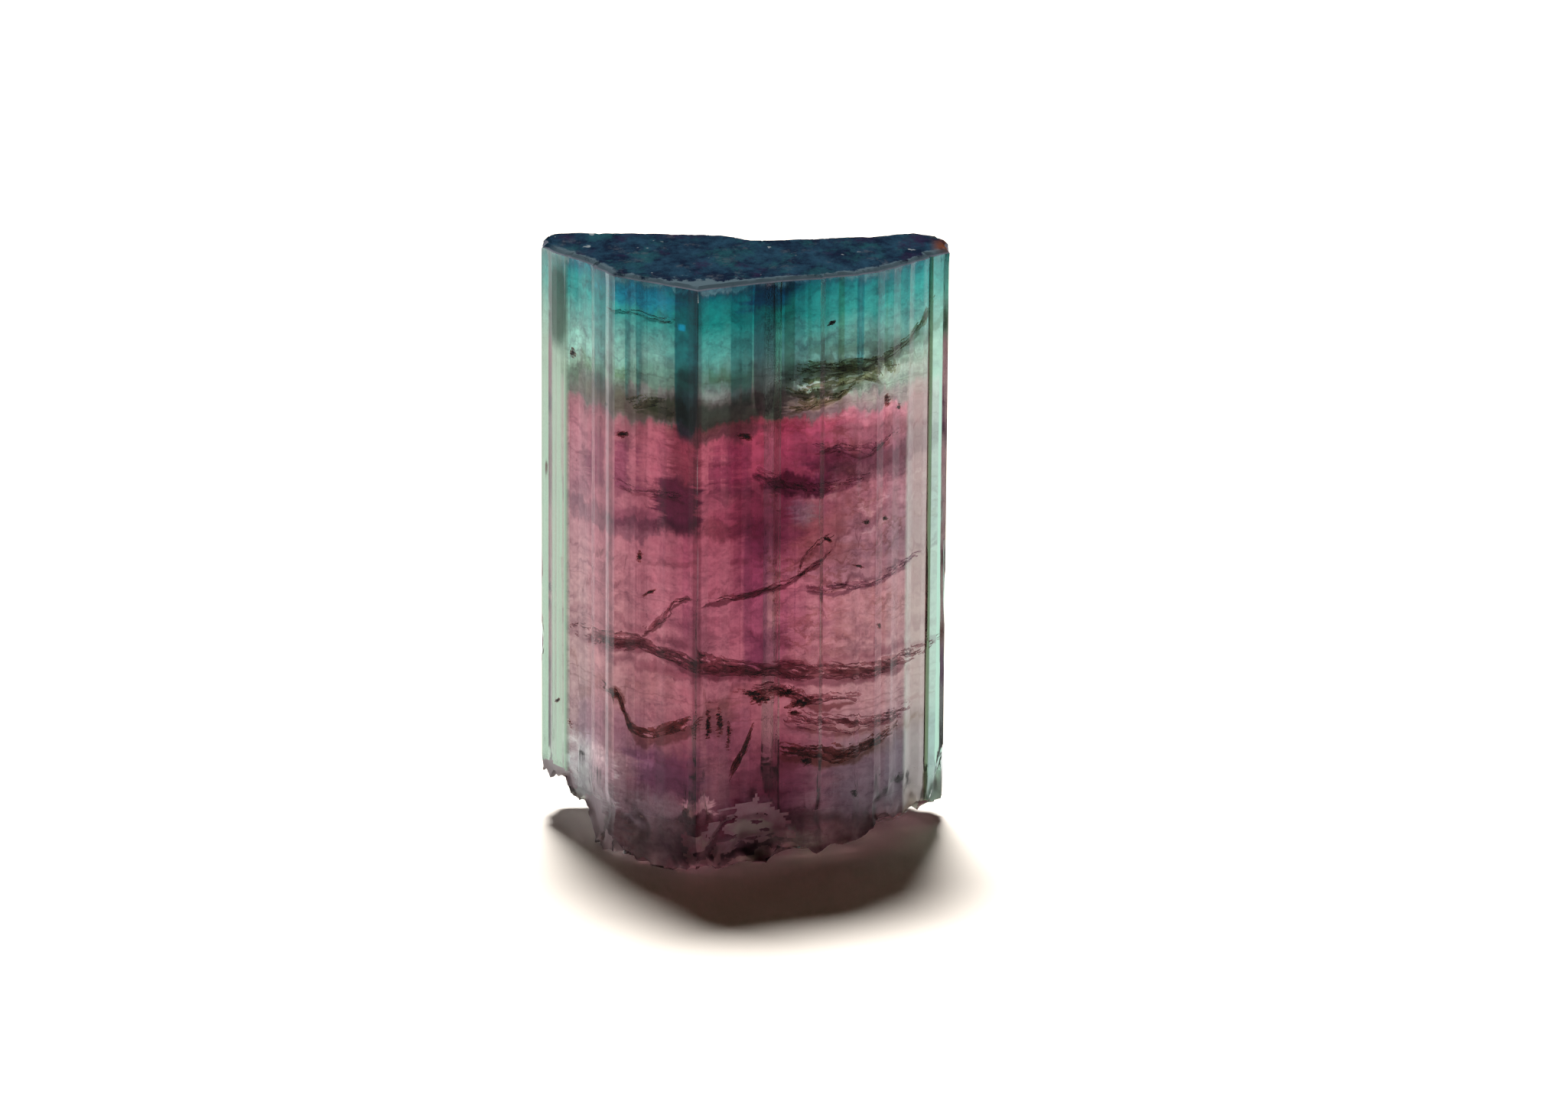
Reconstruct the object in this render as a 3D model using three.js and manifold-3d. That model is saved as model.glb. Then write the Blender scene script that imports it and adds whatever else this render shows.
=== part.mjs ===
// Watermelon tourmaline crystal: a stubby, three-sided prism with rounded sides, fine ribs
// along its length, a flat end face on top and a broken foot.
// Millimetres, +Z up along the crystal's length. The origin is the middle of the flat foot.
// +X is to the right as the sharp front edge, on the -Y side, faces the viewer.
import * as THREE from 'three';
import { mergeVertices } from 'three/addons/utils/BufferGeometryUtils.js';
import Module from 'manifold-3d';

const wasm = await Module();
wasm.setup();

// driving dimensions
const height = 23.4; // foot to end face
const halfWidth = 8.0; // side corner to middle
const frontReach = 5.35; // front edge to middle
const rimWear = 0.16; // worn bevel round the end face
const ribSpacing = 0.44; // fine ribs along the prism's sides
const ribDepth = 0.045;
const footMargin = 1.2; // prism left below the foot before it is broken off
const footCell = 0.5; // facets of the broken foot
const footRoughness = 0.16;
const footLand = 2.6; // radius of the flat middle that the crystal rests on

// plan of the prism, from the left corner round the front edge and the right corner to the back
const leftCorner = [-halfWidth, 2.75];
const frontEdge = [-1.75, -frontReach];
const rightCorner = [halfWidth, 2.15];
const plan = [
  leftCorner, [-7.35, 1.5],
  [-7.04, 1.05], [-6.82, 0.93], [-6.85, 0.76], // groove between the left strip and the left side
  [-6.2, -0.15], [-5.6, -1.5], [-5.0, -2.75], [-3.75, -3.72], [-2.55, -4.68],
  frontEdge,
  [-0.85, -4.76], [0.35, -4.02], [0.95, -3.7], [2.0, -3.26], [2.95, -2.95],
  [3.15, -2.74], [3.65, -2.5], [4.4, -2.2], [4.6, -1.98], [5.2, -1.58], [5.8, -0.83], [6.45, 0.05],
  [7.2, 1.2], [7.1, 1.42], [7.36, 1.45], // groove between the right side and the right strip
  rightCorner,
  [7.97, 3.9], [7.57, 4.8], [6.65, frontReach], [5.9, 5.1], [4.95, 4.55], [4.3, 4.58], [3.2, 4.25],
  [2.0, 4.0], [1.4, 3.82], [0.85, 3.73], [0.4, 3.86], [-0.05, 4.14], [-0.9, 4.62], // re-entrant back
  [-1.65, 4.75], [-2.55, 4.8], [-3.55, 4.9], [-5.4, 4.92], [-6.5, 4.96], [-7.3, 4.85], [-7.65, 4.62],
  [-7.88, 4.25], [-halfWidth, 3.7],
];

// places where the foot broke higher than its resting face: centre, reach, rise and width of the step
const footLedges = [
  { x: -9.5, y: 2.4, reach: 2.9, rise: 2.15, step: 0.7 }, // left corner
  { x: -9.5, y: 2.2, reach: 4.1, rise: 1.4, step: 0.9 },
  { x: 9.5, y: -1.0, reach: 1.5, rise: 1.5, step: 7.0 }, // long slope under the right side
  { x: -1.0, y: -6.0, reach: 0.9, rise: 0.4, step: 1.2 }, // front edge
  { x: -5.0, y: -3.3, reach: 0.4, rise: 0.6, step: 0.5 },
  { x: 2.7, y: -3.6, reach: 1.0, rise: 0.6, step: 0.9 },
  { x: 1.4, y: 5.2, reach: 1.6, rise: 0.9, step: 1.0 }, // back groove
  { x: -4.6, y: 6.2, reach: 1.8, rise: 0.6, step: 1.2 },
  { x: 7.6, y: 6.2, reach: 1.8, rise: 1.6, step: 0.9 },
];

// flakes broken off the edges: centre, half sizes along x, y and z, and turn about z in degrees
const chips = [
  { at: [0.75, -5.15, 0.6], half: [2.7, 1.6, 2.6], turn: 31 }, // low on the front right side
  { at: [-2.4, -6.0, 0.9], half: [1.2, 1.0, 1.4], turn: -38 },
  { at: [-5.9, -2.5, 0.1], half: [1.0, 0.9, 1.0], turn: -60 },
  { at: [8.3, 2.1, 1.0], half: [0.7, 0.85, 2.75], turn: 30 }, // foot of the right strip
  { at: [-6.0, -1.0, height + 0.35], half: [0.5, 0.5, 0.65], turn: 20 }, // rim of the end face
  { at: [-8.35, 3.3, height + 0.5], half: [0.9, 1.3, 0.95], turn: 0 },
  { at: [8.4, 3.2, height + 0.55], half: [0.85, 1.6, 1.0], turn: 8 },
  { at: [0.8, 4.3, height + 0.3], half: [1.5, 0.9, 0.6], turn: 0 },
  { at: [7.6, 5.6, height + 0.4], half: [1.2, 0.8, 1.1], turn: -30 },
  { at: [8.35, 2.2, 9.3], half: [0.45, 0.4, 1.9], turn: 20 }, // bruises down the side corners
  { at: [-8.3, 2.6, 7.4], half: [0.4, 0.5, 1.3], turn: 10 },
  { at: [7.9, 5.6, 10.5], half: [0.7, 0.6, 3.2], turn: 30 },
];

// A repeatable number from -1 to 1 for each index.
function jitter(index) {
  const wave = Math.sin(index * 12.9898) * 43758.5453;
  return 2 * (wave - Math.floor(wave)) - 1;
}

// The plan with ribs standing in and out of each side.
function ribbedPlan(corners) {
  const points = [];
  corners.forEach((corner, side) => {
    const from = new THREE.Vector2(...corner);
    const to = new THREE.Vector2(...corners[(side + 1) % corners.length]);
    const along = to.clone().sub(from);
    const ribs = Math.floor(along.length() / ribSpacing);
    const outward = new THREE.Vector2(along.y, -along.x).normalize();
    points.push(from);
    for (let rib = 1; rib < ribs; rib += 1) {
      const depth = ribDepth * (rib % 2 ? -1 : 0.5) * (1 + 0.5 * jitter(side * 7 + rib));
      points.push(from.clone().addScaledVector(along, rib / ribs).addScaledVector(outward, depth));
    }
  });
  return points;
}

// A closed solid from a closed geometry, by its shared corners alone.
function solidOf(geometry) {
  geometry.deleteAttribute('normal');
  geometry.deleteAttribute('uv');
  const merged = mergeVertices(geometry, 1e-4);
  return new wasm.Manifold(new wasm.Mesh({
    numProp: 3,
    vertProperties: new Float32Array(merged.attributes.position.array),
    triVerts: new Uint32Array(merged.index.array),
  }));
}

function geometryOf(solid) {
  const mesh = solid.getMesh();
  const geometry = new THREE.BufferGeometry();
  geometry.setAttribute('position', new THREE.BufferAttribute(mesh.vertProperties, 3));
  geometry.setIndex(new THREE.BufferAttribute(mesh.triVerts, 1));
  return geometry;
}

// The ribbed prism, worn at the rim of its end face.
function prism() {
  const geometry = new THREE.ExtrudeGeometry(new THREE.Shape(ribbedPlan(plan)), {
    depth: height + footMargin - 2 * rimWear,
    bevelSize: rimWear,
    bevelOffset: -rimWear,
    bevelThickness: rimWear,
    bevelSegments: 1,
  });
  geometry.translate(0, 0, rimWear - footMargin);
  return solidOf(geometry);
}

// How high the foot is broken at a place: its ledges, roughened towards the sides, and 0 between them.
function footRise(x, y) {
  let rise = 0;
  footLedges.forEach((ledge) => {
    const distance = Math.hypot(x - ledge.x, y - ledge.y);
    const share = 1 - THREE.MathUtils.smoothstep(distance, ledge.reach, ledge.reach + ledge.step);
    rise = Math.max(rise, ledge.rise * share);
  });
  const grain = Math.sin(2.9 * x + 1.3 * y) + Math.sin(1.7 * x - 3.6 * y + 1) + Math.sin(5.1 * y + 4.3 * x);
  const outer = THREE.MathUtils.smoothstep(Math.hypot(x, y), footLand, 1.4 * footLand);
  return Math.max(0, rise + outer * footRoughness * (grain - 0.4));
}

// What broke away below the foot.
function footBreak() {
  const width = 2 * halfWidth + 2;
  const depth = 2 * frontReach + 2;
  const thickness = 2 * footMargin;
  const across = Math.round(width / footCell);
  const back = Math.round(depth / footCell);
  const geometry = new THREE.BoxGeometry(width, depth, thickness, across, back, 1);
  geometry.translate(0, 0, -thickness / 2);
  const position = geometry.attributes.position;
  for (let i = 0; i < position.count; i += 1) {
    if (position.getZ(i) > -thickness / 2) {
      position.setZ(i, footRise(position.getX(i), position.getY(i)));
    }
  }
  return solidOf(geometry);
}

function chip({ at, half, turn }, index) {
  const geometry = new THREE.IcosahedronGeometry(1, 1);
  geometry.rotateX(index);
  geometry.scale(...half);
  geometry.rotateZ(THREE.MathUtils.degToRad(turn));
  geometry.translate(...at);
  return solidOf(geometry);
}

function crystalGeometry() {
  let solid = prism().subtract(footBreak());
  chips.forEach((flake, index) => {
    solid = solid.subtract(chip(flake, index));
  });
  return geometryOf(solid);
}

const tourmaline = new THREE.MeshStandardMaterial({ color: 0xa8586c, roughness: 0.12, metalness: 0 });
const crystal = new THREE.Mesh(crystalGeometry(), tourmaline);
crystal.name = 'tourmaline_crystal';

const model = new THREE.Group();
model.add(crystal);

export default model;
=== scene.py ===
import math
import random

import bmesh
import bpy
from mathutils import Matrix, Vector, noise
from mathutils.bvhtree import BVHTree
from mathutils.kdtree import KDTree


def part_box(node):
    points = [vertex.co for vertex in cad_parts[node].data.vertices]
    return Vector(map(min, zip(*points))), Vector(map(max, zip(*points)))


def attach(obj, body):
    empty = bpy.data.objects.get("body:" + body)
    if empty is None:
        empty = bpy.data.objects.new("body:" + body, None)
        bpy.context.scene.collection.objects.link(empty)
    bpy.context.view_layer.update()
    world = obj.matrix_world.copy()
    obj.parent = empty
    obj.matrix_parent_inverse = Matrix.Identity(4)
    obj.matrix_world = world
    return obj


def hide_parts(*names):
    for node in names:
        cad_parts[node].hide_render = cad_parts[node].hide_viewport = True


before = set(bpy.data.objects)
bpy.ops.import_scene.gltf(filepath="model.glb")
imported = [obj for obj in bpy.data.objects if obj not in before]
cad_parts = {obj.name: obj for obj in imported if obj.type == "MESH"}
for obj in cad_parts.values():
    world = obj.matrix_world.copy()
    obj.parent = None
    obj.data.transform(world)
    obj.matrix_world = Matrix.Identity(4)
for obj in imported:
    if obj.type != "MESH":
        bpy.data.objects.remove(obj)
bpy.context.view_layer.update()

mm = 0.001
scene = bpy.context.scene
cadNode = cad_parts["tourmaline_crystal"]
crystalLow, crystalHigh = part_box("tourmaline_crystal")
crystalHeight = crystalHigh.z / mm


def newObject(name, shape):
    # a bmesh becomes a finished piece at the origin
    data = bpy.data.meshes.new(name)
    shape.to_mesh(data)
    shape.free()
    thing = bpy.data.objects.new(name, data)
    scene.collection.objects.link(thing)
    return thing


def smoothStep(low, high, value):
    share = min(1.0, max(0.0, (value - low) / (high - low)))
    return share * share * (3 - 2 * share)


# the body of the crystal, cut from the CAD solid into fine cells and ribbed along its length

bodyShape = {
    "planCell": 0.13,  # mm between the cuts along x and y
    "lengthCell": 0.6,  # and along z
    "footCell": 0.15,  # mm between the cuts along z near the foot
    "ribDepth": 0.035,  # mm, as all depths here
    "ribsPerMm": 1.7,
    "fineRibDepth": 0.007,
    "fineRibsPerMm": 6.0,
    "pitDepth": 0.05,  # shallow pits in the end face
    "rimBand": 0.2,  # no ribs this close under the end face
    "endFaceDepth": 0.7,  # chips of the rim within this depth count as end face
    "footRoughness": 0.06,  # depth of the grain in the foot's underside
    "footWear": 0.22,  # shallow flakes lost from the walls near the foot
    "footWearTop": 3.4,
    "restGap": 0.02,  # what lies lower rests on the floor and stays flat
    "smoothTop": 2.6,  # the foot is smoothed up to here, this many times
    "smoothTurns": 4,
    "brokenTilt": -0.4,  # faces that look down more than this are broken ones
    # frosted scars on the front: middle and half sizes in mm, and turn about z in degrees
    "scars": [
        ((0.75, -5.15, 0.6), (2.8, 1.7, 2.7), 31),
        ((-2.4, -6.0, 0.9), (1.3, 1.1, 1.5), -38),
        ((-5.9, -2.5, 0.1), (1.1, 1.0, 1.1), -60),
        ((-7.6, 1.6, 2.1), (1.3, 2.2, 0.45), 0),
        ((-6.0, -0.8, 1.0), (1.0, 1.7, 0.9), -55),
    ],
    "scarEdge": (0.12, 0.22),  # how far its edge wanders, in broad waves and in thin layers
    "creaseAngle": 40,  # degrees, sharper edges aren't smoothed over
}


def cutInCells(shape, axis, step, end=None):
    low, high = crystalLow[axis] / mm, end or crystalHigh[axis] / mm
    count = int((high - low) / step)
    normal = Vector((0, 0, 0))
    normal[axis] = 1
    for i in range(1, count):
        place = Vector((0, 0, 0))
        place[axis] = (low + (high - low) * i / count) * mm
        geometry = shape.verts[:] + shape.edges[:] + shape.faces[:]
        bmesh.ops.bisect_plane(shape, geom=geometry, dist=1e-8, plane_co=place, plane_no=normal)


def ribDepthAt(spot):
    # ribs run up the prism: their pattern hardly changes along z
    s = bodyShape
    x, y, z = spot / mm
    wide = noise.noise(Vector((x * s["ribsPerMm"], y * s["ribsPerMm"], z * 0.012)))
    step = math.floor(wide * 5) / 5
    fine = noise.noise(Vector((x * s["fineRibsPerMm"], y * s["fineRibsPerMm"], z * 0.03 + 9)))
    return max(0.0, s["ribDepth"] * (0.5 + 0.5 * step) + s["fineRibDepth"] * (0.5 + 0.5 * fine))


def footWearAt(spot):
    # stepped, shell-like scars that die out upwards
    s = bodyShape
    x, y, z = spot / mm
    scar = noise.noise(Vector((x * 0.75, y * 0.75, z * 0.9 + 4)))
    scar += 0.45 * noise.noise(Vector((x * 2.2, y * 2.2, z * 2.4)))
    scar += 0.2 * noise.noise(Vector((x * 5.5, y * 5.5, z * 6)))
    wavy = z + 0.8 * noise.noise(Vector((x * 0.6, y * 0.6, 8)))
    fade = 1 - smoothStep(0.25 * s["footWearTop"], s["footWearTop"], wavy)
    return s["footWear"] * fade * smoothStep(-0.15, 0.5, scar)


def isBroken(face):
    # the underside of the foot and the scars above it
    s = bodyShape
    x, y, z = face.calc_center_median() / mm
    if z > s["footWearTop"]:
        return False
    if face.normal.z < s["brokenTilt"]:
        return True
    waves, layers = s["scarEdge"]
    edge = 1.0 + waves * noise.noise(Vector((x, y, z)) * 2.0)
    edge += layers * noise.noise(Vector((x * 1.1, y * 1.1, z * 4.7)))
    for middle, half, turn in s["scars"]:
        away = Matrix.Rotation(math.radians(-turn), 3, "Z") @ (Vector((x, y, z)) - Vector(middle))
        if Vector([a / h for a, h in zip(away, half)]).length < edge:
            return True
    return False


def growBody():
    s = bodyShape
    shape = bmesh.new()
    shape.from_mesh(cadNode.data)
    bmesh.ops.remove_doubles(shape, verts=shape.verts, dist=1e-7)
    # the walls' loose triangles are joined, so that the cuts leave no slivers
    walls = [f for f in shape.faces if abs(f.normal.z) < 0.01]
    bmesh.ops.join_triangles(shape, faces=walls, angle_face_threshold=0.01, angle_shape_threshold=3.1)
    cutInCells(shape, 2, s["lengthCell"])
    cutInCells(shape, 2, s["footCell"], s["footWearTop"])
    cutInCells(shape, 0, s["planCell"])
    cutInCells(shape, 1, s["planCell"])
    shape.normal_update()
    moves = {}
    # walls move inwards, the end face down and the broken foot up, never past the CAD solid
    for v in shape.verts:
        x, y, z = v.co / mm
        plan = Vector((v.normal.x, v.normal.y, 0))
        move = Vector((0, 0, 0))
        if plan.length > 0.3 and z < crystalHeight - s["rimBand"]:
            move -= plan.normalized() * (ribDepthAt(v.co) + footWearAt(v.co)) * mm
        if v.normal.z > 0.9 and z > crystalHeight - 0.01:
            pit = noise.noise(Vector((x * 1.8, y * 1.8, 3))) + 0.6 * noise.noise(Vector((x * 6, y * 6, 7)))
            move.z -= s["pitDepth"] * max(0, pit) * mm
        if v.normal.z < -0.3 and z > s["restGap"]:
            grain = noise.noise(Vector((x * 2.2, y * 2.2, 5))) + 0.5 * noise.noise(Vector((x * 6, y * 6, 1)))
            move.z += s["footRoughness"] * max(0, grain) * mm
        moves[v] = move
    for v, move in moves.items():
        v.co += move
    low = [v for v in shape.verts if s["restGap"] * mm < v.co.z < s["smoothTop"] * mm]
    for turn in range(s["smoothTurns"]):
        bmesh.ops.smooth_vert(shape, verts=low, factor=0.5, use_axis_x=True, use_axis_y=True, use_axis_z=True)
    bmesh.ops.triangulate(shape, faces=[f for f in shape.faces if len(f.verts) > 4])
    shape.normal_update()
    for f in shape.faces:
        middle = f.calc_center_median()
        f.smooth = True
        f.material_index = 0
        if f.normal.z > 0.2 and middle.z > (crystalHeight - s["endFaceDepth"]) * mm:
            f.material_index = 1
        if isBroken(f):
            f.material_index = 2
    for e in shape.edges:
        if len(e.link_faces) == 2 and e.calc_face_angle() > math.radians(s["creaseAngle"]):
            e.smooth = False
    thing = newObject("crystal_body", shape)
    markRim(thing)
    return thing


def markRim(thing):
    # each vertex keeps its distance in mm from the edge of the end face, found just under the pits
    low, high = (crystalHeight - 0.3) * mm, (crystalHeight - 0.1) * mm
    farAway = 9.0
    spots = thing.data.vertices
    edge = {(spots[i].co.x, spots[i].co.y) for e in thing.data.edges if e.use_edge_sharp
            for i in e.vertices if low < spots[i].co.z < high}
    tree = KDTree(len(edge))
    for i, (x, y) in enumerate(sorted(edge)):
        tree.insert((x, y, 0), i)
    tree.balance()
    distance = thing.data.attributes.new("fromRim", "FLOAT", "POINT")
    for i, v in enumerate(spots):
        distance.data[i].value = tree.find((v.co.x, v.co.y, 0))[2] / mm if v.co.z > low else farAway


# helpers for materials

def newLook(name):
    look = bpy.data.materials.new(name)
    look.use_nodes = True
    return look, look.node_tree, look.node_tree.nodes["Principled BSDF"]


def addNode(tree, kind, **values):
    node = tree.nodes.new(kind)
    for key, value in values.items():
        setattr(node, key, value)
    return node


def setInput(tree, node, key, value):
    if isinstance(value, bpy.types.NodeSocket):
        tree.links.new(value, node.inputs[key])
    else:
        node.inputs[key].default_value = value


def doMath(tree, operation, a, b=0.0, c=0.0, clamp=False):
    node = addNode(tree, "ShaderNodeMath", operation=operation, use_clamp=clamp)
    for i, value in enumerate((a, b, c)):
        setInput(tree, node, i, value)
    return node.outputs[0]


def mixColour(tree, share, a, b, blend="MIX"):
    node = addNode(tree, "ShaderNodeMix", data_type="RGBA", blend_type=blend)
    node.clamp_factor = True
    setInput(tree, node, 0, share)
    setInput(tree, node, 6, a)
    setInput(tree, node, 7, b)
    return node.outputs[2]


def mapTo(tree, value, low, high, newLow=0.0, newHigh=1.0, smooth=False):
    node = addNode(tree, "ShaderNodeMapRange", interpolation_type="SMOOTHSTEP" if smooth else "LINEAR")
    for key, number in zip(("Value", "From Min", "From Max", "To Min", "To Max"),
                           (value, low, high, newLow, newHigh)):
        setInput(tree, node, key, number)
    return node.outputs[0]


def noiseAt(tree, spot, scale, detail=3.0, roughness=0.55, stretch=(1, 1, 1), distortion=0.0):
    mapping = addNode(tree, "ShaderNodeMapping")
    tree.links.new(spot, mapping.inputs["Vector"])
    mapping.inputs["Scale"].default_value = stretch
    node = addNode(tree, "ShaderNodeTexNoise")
    tree.links.new(mapping.outputs[0], node.inputs["Vector"])
    node.inputs["Scale"].default_value = scale
    node.inputs["Detail"].default_value = detail
    node.inputs["Roughness"].default_value = roughness
    node.inputs["Distortion"].default_value = distortion
    return node.outputs["Fac"]


def rampOf(tree, value, stops):
    node = addNode(tree, "ShaderNodeValToRGB")
    tree.links.new(value, node.inputs["Fac"])
    elements = node.color_ramp.elements
    while len(elements) < len(stops):
        elements.new(0.5)
    for element, (position, colour) in zip(elements, stops):
        element.position = position
    for element, (position, colour) in zip(elements, stops):
        element.color = (*colour, 1)
    return node.outputs["Color"]


def millimetres(tree):
    # object coordinates in millimetres
    place = addNode(tree, "ShaderNodeTexCoord")
    scale = addNode(tree, "ShaderNodeVectorMath", operation="SCALE")
    tree.links.new(place.outputs["Object"], scale.inputs[0])
    scale.inputs["Scale"].default_value = 1 / mm
    return scale.outputs[0]


def splitUp(tree, vector):
    # the x, y and z of a vector
    node = addNode(tree, "ShaderNodeSeparateXYZ")
    tree.links.new(vector, node.inputs[0])
    return node.outputs


def addBump(tree, shader, height, strength, distance):
    bump = addNode(tree, "ShaderNodeBump")
    bump.inputs["Strength"].default_value = strength
    bump.inputs["Distance"].default_value = distance * mm
    tree.links.new(height, bump.inputs["Height"])
    tree.links.new(bump.outputs[0], shader.inputs["Normal"])


def makeMarkGroup():
    # a soft upright patch with round corners in x and z, bent towards its ends: 1 inside and 0 outside
    group = bpy.data.node_groups.new("placedMark", "ShaderNodeTree")
    group.interface.new_socket("Position", in_out="INPUT", socket_type="NodeSocketVector")
    for name in ("X", "Z", "Half Width", "Half Height", "Bend", "Softness"):
        group.interface.new_socket(name, in_out="INPUT", socket_type="NodeSocketFloat")
    group.interface.new_socket("Mask", in_out="OUTPUT", socket_type="NodeSocketFloat")
    start = group.nodes.new("NodeGroupInput")
    end = group.nodes.new("NodeGroupOutput")
    parts = splitUp(group, start.outputs["Position"])
    across = doMath(group, "DIVIDE", doMath(group, "SUBTRACT", parts["X"], start.outputs["X"]),
                    start.outputs["Half Width"])
    acrossSquare = doMath(group, "MULTIPLY", across, across)
    middle = doMath(group, "MULTIPLY_ADD", acrossSquare, start.outputs["Bend"], start.outputs["Z"])
    along = doMath(group, "DIVIDE", doMath(group, "SUBTRACT", parts["Z"], middle),
                   start.outputs["Half Height"])
    acrossFourth = doMath(group, "MULTIPLY", acrossSquare, acrossSquare)
    alongFourth = doMath(group, "POWER", doMath(group, "ABSOLUTE", along), 4.0)
    reach = doMath(group, "POWER", doMath(group, "ADD", acrossFourth, alongFourth), 0.25)
    node = addNode(group, "ShaderNodeMapRange", interpolation_type="SMOOTHSTEP")
    group.links.new(reach, node.inputs["Value"])
    group.links.new(doMath(group, "SUBTRACT", 1.0, start.outputs["Softness"]), node.inputs["From Min"])
    group.links.new(doMath(group, "ADD", 1.0, start.outputs["Softness"]), node.inputs["From Max"])
    node.inputs["To Min"].default_value = 1
    node.inputs["To Max"].default_value = 0
    group.links.new(node.outputs[0], end.inputs["Mask"])
    return group


def markMask(tree, group, spot, place, half, bend, soft):
    node = addNode(tree, "ShaderNodeGroup", node_tree=group)
    tree.links.new(spot, node.inputs["Position"])
    values = place + half + (bend, soft)
    for key, value in zip(("X", "Z", "Half Width", "Half Height", "Bend", "Softness"), values):
        node.inputs[key].default_value = value
    return node.outputs["Mask"]


# the crystal's colours, with some painted light and shade

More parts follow.
